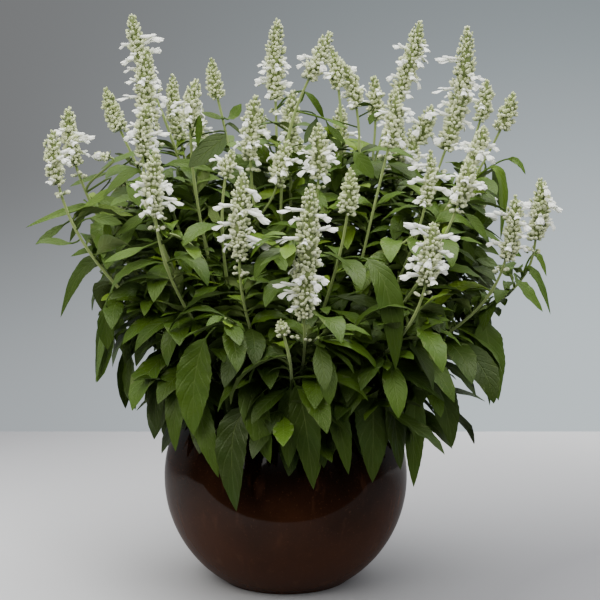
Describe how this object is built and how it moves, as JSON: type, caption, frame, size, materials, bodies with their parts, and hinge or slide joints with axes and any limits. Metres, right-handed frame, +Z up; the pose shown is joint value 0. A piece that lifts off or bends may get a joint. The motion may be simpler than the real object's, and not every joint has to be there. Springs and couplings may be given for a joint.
{
  "type": "potted salvia",
  "caption": "White mealycup sage with upright felted flower spikes, growing in a dark brown glazed ball pot.",
  "frame": {"origin": "centre of the pot's flat foot, on the surface that the pot stands on", "axes": "+Z up along the pot's axis; -Y towards the side that shows best, +X to the right seen from there"},
  "size_m": [0.523, 0.4086, 0.5681],
  "materials": {
    "pot_glaze": "glossy dark brown reduction glaze on stoneware",
    "potting_soil": "dark crumbly peat and bark potting mix",
    "leaf_green": "soft matt green sage leaf, paler and greyer underneath, on pale green square stems",
    "flower_white": "felted pale grey-green calyces with matt white petals"
  },
  "bodies": {
    "root": {"flower_spike_behind_1": "flower_white", "flower_spike_behind_2": "flower_white", "flower_spike_behind_3": "flower_white", "flower_spike_behind_4": "flower_white", "flower_spike_behind_5": "flower_white", "flower_spike_behind_6": "flower_white", "flower_spike_behind_7": "flower_white", "flower_spike_behind_8": "flower_white", "flower_spike_behind_9": "flower_white", "flower_spike_far_left_high": "flower_white", "flower_spike_far_left_low": "flower_white", "flower_spike_far_right_bud": "flower_white", "flower_spike_far_right_low": "flower_white", "flower_spike_far_right_lower": "flower_white", "flower_spike_far_right_middle": "flower_white", "flower_spike_far_right_top": "flower_white", "flower_spike_front": "flower_white", "flower_spike_front_left": "flower_white", "flower_spike_front_right": "flower_white", "flower_spike_front_small": "flower_white", "flower_spike_left_bud": "flower_white", "flower_spike_left_inner": "flower_white", "flower_spike_left_lower": "flower_white", "flower_spike_left_middle": "flower_white", "flower_spike_left_second": "flower_white", "flower_spike_left_thin": "flower_white", "flower_spike_left_top": "flower_white", "flower_spike_left_upper": "flower_white", "flower_spike_middle": "flower_white", "flower_spike_middle_back": "flower_white", "flower_spike_middle_front": "flower_white", "flower_spike_middle_leaning": "flower_white", "flower_spike_middle_left": "flower_white", "flower_spike_middle_right": "flower_white", "flower_spike_middle_small": "flower_white", "flower_spike_middle_top": "flower_white", "flower_spike_right_inner": "flower_white", "flower_spike_right_inner_back": "flower_white", "flower_spike_right_low_back": "flower_white", "flower_spike_right_lower": "flower_white", "flower_spike_right_of_middle_bud": "flower_white", "flower_spike_right_old": "flower_white", "flower_spike_right_tallest": "flower_white", "flower_spike_right_top": "flower_white", "leafy_plant_1": "leaf_green", "leafy_plant_2": "leaf_green", "leafy_plant_3": "leaf_green", "leafy_plant_4": "leaf_green", "leafy_plant_5": "leaf_green", "leafy_plant_6": "leaf_green", "leafy_plant_7": "leaf_green", "pot": "pot_glaze", "soil": "potting_soil"}
  },
  "joints": []
}
